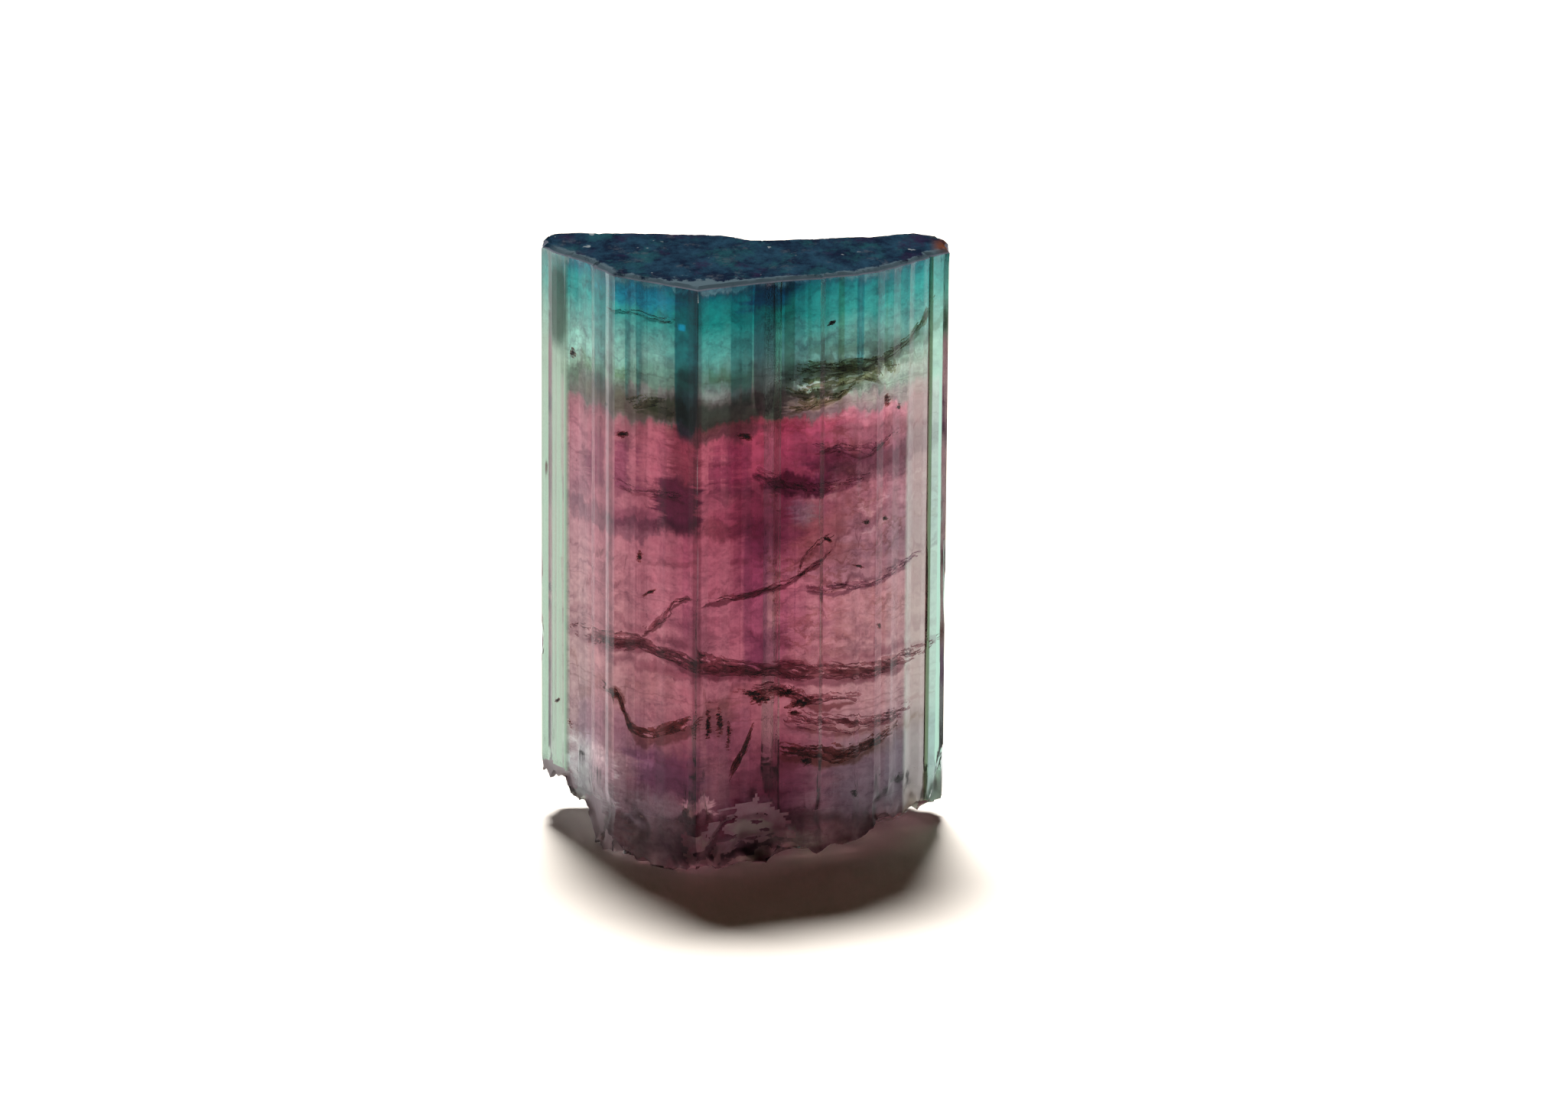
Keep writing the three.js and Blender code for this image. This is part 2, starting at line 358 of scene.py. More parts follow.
tourmaline = {
    "ior": 1.63,
    "roughness": 0.04,
    "footRoughness": 0.5,  # of the frosted foot
    "transmission": 1.0,
    "mirror": 0.08,  # dims the reflections off its walls
    "depthOfColour": (1.5, 0.5),  # how strongly the front and the back walls are coloured
    "absorptionColour": (0.66, 0.58, 0.58, 1),
    "absorptionDensity": 50,
    # heights in mm from the foot, with the colour of the middle and of the sides there
    "zones": [
        (0.0, (0.12, 0.06, 0.08), (0.14, 0.09, 0.1)),
        (1.5, (0.12, 0.045, 0.065), (0.16, 0.1, 0.115)),
        (3.0, (0.17, 0.05, 0.07), (0.24, 0.14, 0.16)),
        (4.6, (0.28, 0.07, 0.1), (0.38, 0.2, 0.22)),
        (7.0, (0.42, 0.12, 0.16), (0.5, 0.26, 0.27)),
        (10.0, (0.48, 0.12, 0.18), (0.5, 0.23, 0.25)),
        (13.5, (0.32, 0.06, 0.1), (0.48, 0.19, 0.23)),
        (16.5, (0.45, 0.092, 0.14), (0.46, 0.155, 0.2)),
        (17.4, (0.45, 0.09, 0.135), (0.41, 0.16, 0.19)),
        (17.75, (0.3, 0.065, 0.08), (0.3, 0.16, 0.17)),
        (17.9, (0.058, 0.06, 0.046), (0.155, 0.175, 0.145)),
        (18.8, (0.058, 0.085, 0.065), (0.145, 0.23, 0.175)),
        (19.2, (0.18, 0.3, 0.26), (0.35, 0.48, 0.38)),
        (20.6, (0.06, 0.33, 0.3), (0.2, 0.46, 0.39)),
        (21.9, (0.003, 0.23, 0.21), (0.03, 0.34, 0.31)),
        (22.8, (0.001, 0.12, 0.14), (0.02, 0.24, 0.25)),
        (23.1, (0.001, 0.05, 0.09), (0.02, 0.12, 0.16)),
        (23.22, (0.14, 0.17, 0.22), (0.16, 0.22, 0.25)),
        (23.4, (0.1, 0.13, 0.18), (0.12, 0.17, 0.2)),
    ],
    "coreCentre": -0.2,
    "coreHalf": (1.6, 4.6),  # wholly core colour within the first, wholly side colour past the second
    "rind": (0.46, 0.64, 0.49),
    "rindRight": (0.5, 0.95, 0.76),
    "rindFrom": 6.85,  # mm from the middle to the pale green sides
    "rindRightFrom": (7.2, 7.35),
    "strip": (0.5, 0.52, 0.45),  # yellowish strip inside the right side
    "stripFrom": (6.3, 6.45),
    "networkAt": ((3.6, 13.0), (3.4, 5.4), 0.0, 0.3),  # place, half sizes, bend and softness
    "networkPerMm": (1.2, 1.2, 2.1),
    "networkColour": (0.66, 0.56, 0.5),
    "backFrom": (2.4, 3.6),  # y in mm where the front's colours give way to the back's
    "frostedTo": (0.8, 3.2),  # the foot is frosted up to here
    "haze": 0.12,
    "stainRaggedness": 0.3,
    "streakShare": 0.4,
    "cloudShare": 0.65,
    "grainShare": 0.8,
    "bump": (0.15, 0.02),  # strength, and depth in mm
    # straight bands along the facets: place x and z and half sizes in mm, bend, softness, the colour that they
    # let through and how much of it. Some are painted shade, marked where they stand
    "bands_and_painted_shade": [
        # painted shade: a dark vertical band in the teal zone, standing in for the darkening seen through the
        # back walls
        ((-2.2, 20.9), (0.45, 3.6), 0.0, 0.07, (0.07, 0.34, 0.42), 1.0),
        ((-2.15, 18.9), (0.42, 1.2), 0.0, 0.2, (0.5, 0.45, 0.45), 1.0),
        # painted shade: two dark vertical bands in the teal zone, standing in for the darkening seen through
        # the back walls
        ((0.8, 20.9), (0.42, 2.9), 0.0, 0.06, (0.42, 0.29, 0.36), 1.0),
        ((1.76, 21.4), (0.2, 2.5), 0.0, 0.1, (0.4, 0.46, 0.38), 0.9),
        ((-2.38, 21.7), (0.13, 0.12), 0.0, 0.4, (0.5, 2.4, 4.0), 1.0),
        ((3.76, 21.0), (0.12, 2.8), 0.0, 0.3, (0.6, 0.62, 0.45), 0.9),
        ((3.76, 12.0), (0.12, 14.0), 0.0, 0.4, (0.9, 0.85, 0.85), 0.8),
        ((4.5, 21.6), (0.14, 2.2), 0.0, 0.2, (0.15, 0.5, 0.6), 0.9),
        # painted shade: a dark line along the front edge
        ((-1.75, 12.0), (0.16, 14.0), 0.0, 0.3, (0.5, 0.36, 0.42), 0.9),
        ((0.5, 11.0), (0.46, 3.1), 0.0, 0.12, (0.6, 0.42, 0.62), 0.9),
        ((-0.2, 14.0), (0.16, 4.0), 0.0, 0.3, (0.7, 0.55, 0.65), 0.8),
        ((5.2, 12.0), (0.08, 14.0), 0.0, 0.4, (0.8, 0.74, 0.78), 0.8),
        ((7.28, 12.0), (0.09, 14.0), 0.0, 0.3, (0.25, 0.27, 0.18), 1.0),
        ((-6.95, 12.0), (0.08, 14.0), 0.0, 0.4, (0.6, 0.55, 0.55), 0.8),
        ((-7.3, 21.2), (0.34, 1.7), 0.0, 0.3, (0.1, 0.14, 0.12), 1.0),
        # painted shade: a darker line that dims a bright line of light on the wall here
        ((-5.16, 11.7), (0.09, 14.0), 0.0, 0.4, (0.62, 0.5, 0.54), 0.9),
        ((-6.45, 9.5), (0.5, 8.0), 0.0, 0.4, (0.95, 1.35, 1.25), 0.9),
        ((6.05, 9.5), (0.45, 8.0), 0.0, 0.3, (1.0, 1.3, 1.25), 0.9),
    ],
    # ragged patches, written the same way
    "patches_and_painted_light": [
        # bluer under the rim
        ((1.0, 22.7), (0.9, 0.4), 0.0, 0.4, (0.4, 0.34, 0.75), 1.0),
        ((-3.9, 22.6), (1.2, 0.45), 0.0, 0.5, (0.3, 0.75, 1.25), 1.0),
        # murky border between the green and the pink
        ((-0.8, 17.95), (1.5, 0.75), 0.0, 0.2, (0.3, 0.42, 0.36), 1.0),
        ((-4.4, 18.3), (2.0, 0.35), 0.0, 0.5, (0.6, 0.62, 0.5), 1.0),
        ((-2.9, 18.35), (0.9, 0.35), 0.0, 0.3, (0.35, 0.45, 0.3), 1.0),
        ((1.4, 18.9), (0.3, 0.9), 0.0, 0.3, (0.4, 0.35, 0.36), 0.9),
        ((4.8, 18.3), (2.4, 0.85), 0.0, 0.4, (2.5, 2.3, 2.4), 1.0),
        ((-5.0, 19.6), (2.2, 0.6), 0.0, 0.5, (1.2, 1.5, 1.5), 1.0),
        ((4.2, 20.3), (2.0, 0.5), 0.0, 0.5, (0.6, 0.72, 0.75), 1.0),
        ((3.9, 13.9), (2.0, 1.0), 0.0, 0.5, (0.84, 0.8, 0.84), 0.9),
        ((4.9, 12.8), (1.6, 0.9), 0.0, 0.5, (0.8, 0.86, 0.9), 0.9),
        ((3.9, 19.55), (2.3, 0.42), 0.45, 0.3, (0.34, 0.36, 0.34), 1.0),
        ((3.4, 18.75), (1.7, 0.2), 0.2, 0.5, (0.3, 0.32, 0.26), 1.0),
        ((2.45, 19.15), (0.36, 0.22), 0.0, 0.4, (2.6, 2.8, 2.8), 1.0),
        ((2.7, 18.35), (0.9, 0.2), 0.0, 0.4, (1.8, 1.8, 1.5), 1.0),
        # magenta patches
        ((-2.5, 14.65), (0.85, 1.15), 0.0, 0.22, (0.2, 0.08, 0.2), 1.0),
        ((-3.6, 13.8), (1.7, 0.4), 0.0, 0.4, (0.5, 0.36, 0.48), 0.9),
        ((-2.2, 16.6), (0.6, 1.0), 0.0, 0.4, (0.45, 0.26, 0.32), 0.9),
        ((1.5, 16.5), (2.2, 1.35), 0.0, 0.22, (0.82, 0.5, 0.72), 1.0),
        ((1.0, 13.9), (1.2, 1.5), 0.0, 0.3, (0.55, 0.42, 0.55), 1.0),
        ((2.2, 15.1), (1.5, 0.4), 0.3, 0.4, (0.3, 0.16, 0.3), 1.0),
        ((0.3, 14.1), (1.3, 0.8), 0.0, 0.3, (0.72, 0.48, 0.64), 1.0),
        ((0.65, 12.2), (0.75, 1.3), 0.0, 0.3, (0.8, 0.62, 0.78), 1.0),
        ((-0.9, 13.7), (0.7, 0.3), 0.0, 0.5, (0.6, 0.5, 0.5), 0.9),
        ((-2.0, 9.3), (0.8, 1.2), 0.0, 0.4, (0.5, 0.45, 0.5), 0.9),
        ((-2.9, 3.9), (1.4, 1.0), 0.0, 0.4, (0.42, 0.32, 0.55), 1.0),
        ((1.0, 3.2), (1.7, 1.5), 0.0, 0.4, (0.52, 0.33, 0.47), 1.0),
        ((1.0, 8.7), (0.8, 0.8), 0.0, 0.4, (0.5, 0.35, 0.5), 0.9),
        ((3.0, 12.9), (1.1, 0.9), 0.0, 0.4, (0.75, 0.62, 0.55), 0.9),
        # grey-mauve veils, broad above and sharp below
        ((-4.9, 13.35), (2.3, 0.42), 0.3, 0.3, (0.5, 0.5, 0.56), 1.0),
        ((5.2, 15.6), (2.8, 0.62), 0.85, 0.3, (0.44, 0.42, 0.46), 1.0),
        ((3.4, 15.0), (1.7, 0.3), 0.25, 0.3, (0.5, 0.34, 0.42), 1.0),
        ((5.2, 11.6), (2.9, 0.62), 0.6, 0.4, (0.7, 0.74, 0.8), 0.9),
        ((4.7, 11.1), (2.8, 0.12), 0.5, 0.6, (0.55, 0.45, 0.5), 0.9),
        ((1.0, 7.9), (8.2, 0.22), 0.35, 0.5, (0.6, 0.45, 0.52), 0.9),
        ((5.3, 3.0), (2.0, 1.6), 0.0, 0.4, (0.5, 0.6, 0.68), 0.9),
        ((3.6, 4.0), (2.2, 0.35), 0.2, 0.5, (0.6, 0.55, 0.42), 0.9),
        ((2.35, 14.1), (0.34, 0.42), 0.0, 0.8, (1.0, 2.6, 2.0), 1.0),
        ((-1.0, 6.1), (0.7, 0.7), 0.0, 0.5, (0.6, 0.6, 0.5), 0.9),
        # pale windows in the mauve
        ((4.7, 13.95), (0.2, 0.2), 0.0, 0.5, (1.5, 2.0, 1.8), 1.0),
        ((5.35, 13.95), (0.18, 0.2), 0.0, 0.5, (1.5, 2.0, 1.8), 1.0),
        ((4.9, 13.1), (0.3, 0.14), 0.0, 0.5, (1.4, 1.8, 1.6), 1.0),
        # facets of the broken foot, two of them with painted light
        ((-3.3, 1.5), (1.1, 1.5), 0.0, 0.15, (1.1, 1.5, 1.4), 1.0),
        # painted light: the left edge of the foot painted lighter where it would look dark
        ((-6.0, 2.2), (0.9, 1.9), 0.0, 0.3, (2.5, 3.7, 3.3), 1.0),
        # painted highlight on a small chip at the front of the foot
        ((-1.6, 2.75), (0.62, 0.24), 0.0, 0.2, (3.6, 5.2, 4.2), 1.0),
        ((-0.7, 1.7), (1.1, 0.5), 0.0, 0.4, (0.8, 0.45, 0.55), 1.0),
        ((1.9, 0.9), (1.1, 0.35), 0.0, 0.5, (1.2, 2.0, 1.5), 1.0),
    ],
}


def addMarks(tree, group, spot, marks, colour):
    for place, half, bend, soft, tint, share in marks:
        mask = doMath(tree, "MULTIPLY", markMask(tree, group, spot, place, half, bend, soft), share)
        colour = mixColour(tree, mask, colour, (*tint, 1), "MULTIPLY")
    return colour


def lineMask(tree, spot, course, halfWidth):
    # 1 along a course of x and z places, 0 away from it, patchy and thinner towards its ends
    parts = splitUp(tree, spot)
    places = sorted(course)
    low, high = places[0][0], places[-1][0]
    share = mapTo(tree, parts["X"], low, high)
    curve = addNode(tree, "ShaderNodeFloatCurve")
    tree.links.new(share, curve.inputs["Value"])
    points = curve.mapping.curves[0].points
    while len(points) < len(places):
        points.new(0.5, 0.5)
    for point, (x, z) in zip(points, places):
        point.location = ((x - low) / (high - low), z / crystalHeight)
    curve.mapping.update()
    middle = doMath(tree, "MULTIPLY", curve.outputs[0], crystalHeight)
    away = doMath(tree, "ABSOLUTE", doMath(tree, "SUBTRACT", parts["Z"], middle))
    patchy = mapTo(tree, noiseAt(tree, spot, 1.2, detail=3), 0.3, 0.7, 0.35, 1.5)
    ends = doMath(tree, "MULTIPLY", mapTo(tree, share, 0.0, 0.08), mapTo(tree, share, 1.0, 0.92))
    width = doMath(tree, "MULTIPLY", doMath(tree, "MULTIPLY", patchy, halfWidth), ends)
    edge = halfWidth * 0.35
    return mapTo(tree, doMath(tree, "SUBTRACT", away, width), edge, -edge, smooth=True)


def warped(tree, spot):
    # jagged across by thin layers along z, and jagged along z by the ribs
    parts = splitUp(tree, spot)
    teeth = noiseAt(tree, spot, 1.0, detail=6, roughness=0.7, stretch=(0.3, 0.3, 2.2))
    ribs = noiseAt(tree, spot, 1.0, detail=5, roughness=0.65, stretch=(1.1, 1.1, 0.5))
    x = doMath(tree, "ADD", parts["X"], mapTo(tree, teeth, 0.25, 0.75, -0.65, 0.65))
    z = doMath(tree, "ADD", parts["Z"], mapTo(tree, ribs, 0.25, 0.75, -0.45, 0.45))
    joined = addNode(tree, "ShaderNodeCombineXYZ")
    for key, value in (("X", x), ("Y", parts["Y"]), ("Z", z)):
        tree.links.new(value, joined.inputs[key])
    return joined.outputs[0], x, z


def paintTourmaline(markGroup):
    s = tourmaline
    look, tree, shader = newLook("clear_tourmaline")
    spot = millimetres(tree)
    parts = splitUp(tree, spot)
    ragged, raggedX, raggedZ = warped(tree, spot)
    height = doMath(tree, "DIVIDE", raggedZ, crystalHeight)
    core = rampOf(tree, height, [(z / crystalHeight, middle) for z, middle, side in s["zones"]])
    sides = rampOf(tree, height, [(z / crystalHeight, side) for z, middle, side in s["zones"]])
    fromCore = doMath(tree, "ABSOLUTE", doMath(tree, "SUBTRACT", raggedX, s["coreCentre"]))
    colour = mixColour(tree, mapTo(tree, fromCore, *s["coreHalf"]), core, sides)
    colour = addMarks(tree, markGroup, ragged, s["patches_and_painted_light"], colour)
    # the cracks' stains are only a little ragged
    nearly = addNode(tree, "ShaderNodeMix", data_type="VECTOR")
    nearly.inputs[0].default_value = s["stainRaggedness"]
    tree.links.new(spot, nearly.inputs[4])
    tree.links.new(ragged, nearly.inputs[5])
    for sheet in fractures["sheets"]:
        if "stain" in sheet:
            halfWidth, tint = sheet["stain"]
            mask = lineMask(tree, nearly.outputs[1], sheet["course"], halfWidth)
            colour = mixColour(tree, mask, colour, (*tint, 1), "MULTIPLY")
    # streaks along the length, cloudy layers across it and a fine grain
    streaks = noiseAt(tree, spot, 1.0, detail=3, roughness=0.6, stretch=(1.7, 1.7, 0.05))
    streakShade = rampOf(tree, streaks, [(0.36, (0.62, 0.62, 0.62)), (0.5, (1.0, 1.0, 1.0)),
                                         (0.66, (1.35, 1.3, 1.3))])
    colour = mixColour(tree, s["streakShare"], colour, streakShade, "MULTIPLY")
    clouds = noiseAt(tree, ragged, 0.9, detail=6, roughness=0.7, stretch=(0.8, 0.8, 2.0), distortion=0.8)
    cloudShade = rampOf(tree, clouds, [(0.36, (0.42, 0.32, 0.4)), (0.5, (1.0, 1.0, 1.0)),
                                       (0.68, (1.3, 1.35, 1.3))])
    colour = mixColour(tree, s["cloudShare"], colour, cloudShade, "MULTIPLY")
    grain = noiseAt(tree, spot, 1.0, detail=4, roughness=0.7, stretch=(2.6, 2.6, 3.6))
    grainShade = rampOf(tree, grain, [(0.36, (0.78, 0.7, 0.74)), (0.5, (1.0, 1.0, 1.0)),
                                      (0.66, (1.14, 1.2, 1.17))])
    colour = mixColour(tree, s["grainShare"], colour, grainShade, "MULTIPLY")
    # fine brownish network in the right half of the pink
    cells = addNode(tree, "ShaderNodeTexVoronoi", feature="DISTANCE_TO_EDGE")
    squeeze = addNode(tree, "ShaderNodeMapping")
    squeeze.inputs["Scale"].default_value = s["networkPerMm"]
    tree.links.new(ragged, squeeze.inputs["Vector"])
    tree.links.new(squeeze.outputs[0], cells.inputs["Vector"])
    cells.inputs["Scale"].default_value = 1.0
    threads = mapTo(tree, cells.outputs["Distance"], 0.16, 0.02, smooth=True)
    patchy = mapTo(tree, noiseAt(tree, spot, 0.55, detail=3), 0.42, 0.6)
    where = markMask(tree, markGroup, spot, *s["networkAt"])
    threads = doMath(tree, "MULTIPLY", doMath(tree, "MULTIPLY", threads, patchy), where)
    colour = mixColour(tree, threads, colour, (*s["networkColour"], 1), "MULTIPLY")
    # yellowish strip and pale green sides, fainter in the teal zone
    outer = doMath(tree, "ABSOLUTE", parts["X"])
    rightStrip = mapTo(tree, parts["X"], *s["stripFrom"], smooth=True)
    below = mapTo(tree, raggedZ, 20.0, 17.5, 0.0, 0.85)
    colour = mixColour(tree, doMath(tree, "MULTIPLY", rightStrip, below), colour, (*s["strip"], 1))
    rindStart = mapTo(tree, parts["Y"], *s["backFrom"], s["rindFrom"], s["rindFrom"] - 1.4)
    rind = mapTo(tree, doMath(tree, "SUBTRACT", outer, rindStart), 0.0, 0.2, smooth=True)
    rindRight = mapTo(tree, outer, *s["rindRightFrom"], smooth=True)
    onLeft = mapTo(tree, parts["X"], 0.0, 0.1, 1.0, 0.0)
    rindShare = doMath(tree, "MAXIMUM", doMath(tree, "MULTIPLY", rind, onLeft), rindRight)
    rindTint = mixColour(tree, onLeft, (*s["rindRight"], 1), (*s["rind"], 1))
    rindHeight = mapTo(tree, parts["Z"], 22.0, 18.0, 0.25, 0.92)
    colour = mixColour(tree, doMath(tree, "MULTIPLY", rindShare, rindHeight), colour, rindTint)
    colour = addMarks(tree, markGroup, spot, s["bands_and_painted_shade"], colour)
    strength = addNode(tree, "ShaderNodeGamma")
    tree.links.new(colour, strength.inputs["Color"])
    tree.links.new(mapTo(tree, parts["Y"], *s["backFrom"], *s["depthOfColour"]), strength.inputs["Gamma"])
    tree.links.new(strength.outputs[0], shader.inputs["Base Color"])
    frost = mapTo(tree, parts["Z"], *s["frostedTo"], s["footRoughness"], s["roughness"], smooth=True)
    haze = mapTo(tree, noiseAt(tree, spot, 1.3, detail=4), 0.5, 0.75, 0.0, s["haze"])
    tree.links.new(doMath(tree, "ADD", frost, haze), shader.inputs["Roughness"])
    addBump(tree, shader, noiseAt(tree, spot, 9.0, detail=3, stretch=(1, 1, 0.02)), *s["bump"])
    shader.inputs["IOR"].default_value = s["ior"]
    shader.inputs["Specular Tint"].default_value = (s["mirror"],) * 3 + (1,)
    shader.inputs["Transmission Weight"].default_value = s["transmission"]
    absorb = addNode(tree, "ShaderNodeVolumeAbsorption")
    absorb.inputs["Color"].default_value = s["absorptionColour"]
    absorb.inputs["Density"].default_value = s["absorptionDensity"]
    tree.links.new(absorb.outputs[0], tree.nodes["Material Output"].inputs["Volume"])
    return look


# the dark end face

endFace = {
    "dark": (0.0046, 0.0095, 0.023),
    "blue": (0.011, 0.035, 0.064),
    "teal": (0.011, 0.055, 0.07),
    "plum": (0.018, 0.009, 0.032),
    "ash": (0.05, 0.062, 0.082),
    "speck": (0.13, 0.16, 0.19),
    "stain": (0.11, 0.032, 0.007),  # rusty right corner
    "fringe": (0.26, 0.95),  # mm wide along the rim and at the front edge
    "frost": (0.05, 0.08, 0.105),
    "rim": (0.12, 0.14, 0.19),
    "rimFrom": (0.1, 0.13),  # mm under the end face
    # place, half sizes, bend and softness of the fringe's broadest part and of the rusty stain
    "cornerAt": ((-1.4, crystalHeight), (1.4, 1.0), 0.0, 0.7),
    "stainAt": ((8.1, crystalHeight), (0.6, 1.0), 0.0, 0.6),
    "roughness": 0.8,
    "bump": (0.5, 0.05),
}


def paintEndFace(markGroup):
    s = endFace
    look, tree, shader = newLook("dark_end_face")
    spot = millimetres(tree)
    parts = splitUp(tree, spot)
    mottle = noiseAt(tree, spot, 0.9, detail=8, roughness=0.75, stretch=(1, 0.5, 1))
    colour = mixColour(tree, mapTo(tree, mottle, 0.42, 0.62), (*s["dark"], 1), (*s["blue"], 1))
    teal = noiseAt(tree, spot, 0.6, detail=7, roughness=0.7, stretch=(1, 0.4, 3))
    colour = mixColour(tree, mapTo(tree, teal, 0.52, 0.7), colour, (*s["teal"], 1))
    plum = noiseAt(tree, spot, 0.7, detail=6, roughness=0.7, stretch=(1, 0.5, 5))
    colour = mixColour(tree, mapTo(tree, plum, 0.55, 0.75), colour, (*s["plum"], 1))
    ash = noiseAt(tree, spot, 1.1, detail=7, roughness=0.75, stretch=(0.8, 0.4, 7))
    colour = mixColour(tree, mapTo(tree, ash, 0.56, 0.74), colour, (*s["ash"], 1))
    specks = noiseAt(tree, spot, 2.2, detail=2, stretch=(0.8, 0.5, 1))
    colour = mixColour(tree, mapTo(tree, specks, 0.73, 0.76), colour, (*s["speck"], 1))
    stain = markMask(tree, markGroup, spot, *s["stainAt"])
    stain = doMath(tree, "MULTIPLY", stain, mapTo(tree, mottle, 0.35, 0.55))
    colour = mixColour(tree, stain, colour, (*s["stain"], 1))
    # frosted fringe along the front of the rim, broadest at the front edge
    fromRim = addNode(tree, "ShaderNodeAttribute", attribute_name="fromRim")
    corner = markMask(tree, markGroup, spot, *s["cornerAt"])
    ragged = mapTo(tree, mottle, 0.36, 0.6, 0.1, 1.7)
    reach = doMath(tree, "MULTIPLY", mapTo(tree, corner, 0.0, 1.0, *s["fringe"]), ragged)
    fringe = mapTo(tree, doMath(tree, "SUBTRACT", fromRim.outputs["Fac"], reach), 0.1, -0.1, smooth=True)
    fringe = doMath(tree, "MULTIPLY", fringe, mapTo(tree, parts["Y"], 2.6, 1.6))
    colour = mixColour(tree, fringe, colour, (*s["frost"], 1))
    rim = mapTo(tree, parts["Z"], *[crystalHeight - depth for depth in s["rimFrom"]])
    rim = doMath(tree, "MULTIPLY", rim, mapTo(tree, mottle, 0.36, 0.56, 0.25, 1.0))
    colour = mixColour(tree, rim, colour, (*s["rim"], 1))
    tree.links.new(colour, shader.inputs["Base Color"])
    shader.inputs["Roughness"].default_value = s["roughness"]
    shader.inputs["Specular IOR Level"].default_value = 0.0
    addBump(tree, shader, mottle, *s["bump"])
    return look


# frosted breaks at the foot

footBreak = {
    "dark": (0.17, 0.04, 0.065),
    "light": (0.27, 0.12, 0.15),
    "grey": (0.4, 0.31, 0.34),  # at the left, from greyAt in mm
    "greyAt": (-3.8, -5.0),
    "green": (0.28, 0.22, 0.18),
    "roughness": 0.5,
    "transmission": 0.6,
    "mirror": 0.25,  # tints the reflections
}


def paintFootBreak():
    s = footBreak
    look, tree, shader = newLook("frosted_break")
    spot = millimetres(tree)
    mottle = noiseAt(tree, spot, 0.8, detail=6, roughness=0.7)
    colour = mixColour(tree, mapTo(tree, mottle, 0.38, 0.62), (*s["dark"], 1), (*s["light"], 1))
    green = noiseAt(tree, spot, 0.5, detail=4, stretch=(1, 1, 2))
    colour = mixColour(tree, mapTo(tree, green, 0.52, 0.62, 0.0, 0.7), colour, (*s["green"], 1))
    toLeft = mapTo(tree, splitUp(tree, spot)["X"], *s["greyAt"])
    colour = mixColour(tree, toLeft, colour, (*s["grey"], 1))
    tree.links.new(colour, shader.inputs["Base Color"])
    shader.inputs["Roughness"].default_value = s["roughness"]
    shader.inputs["IOR"].default_value = tourmaline["ior"]
    shader.inputs["Specular Tint"].default_value = (s["mirror"],) * 3 + (1,)
    shader.inputs["Transmission Weight"].default_value = s["transmission"]
    return look


# healed fractures inside the crystal: ragged thin sheets behind the front walls

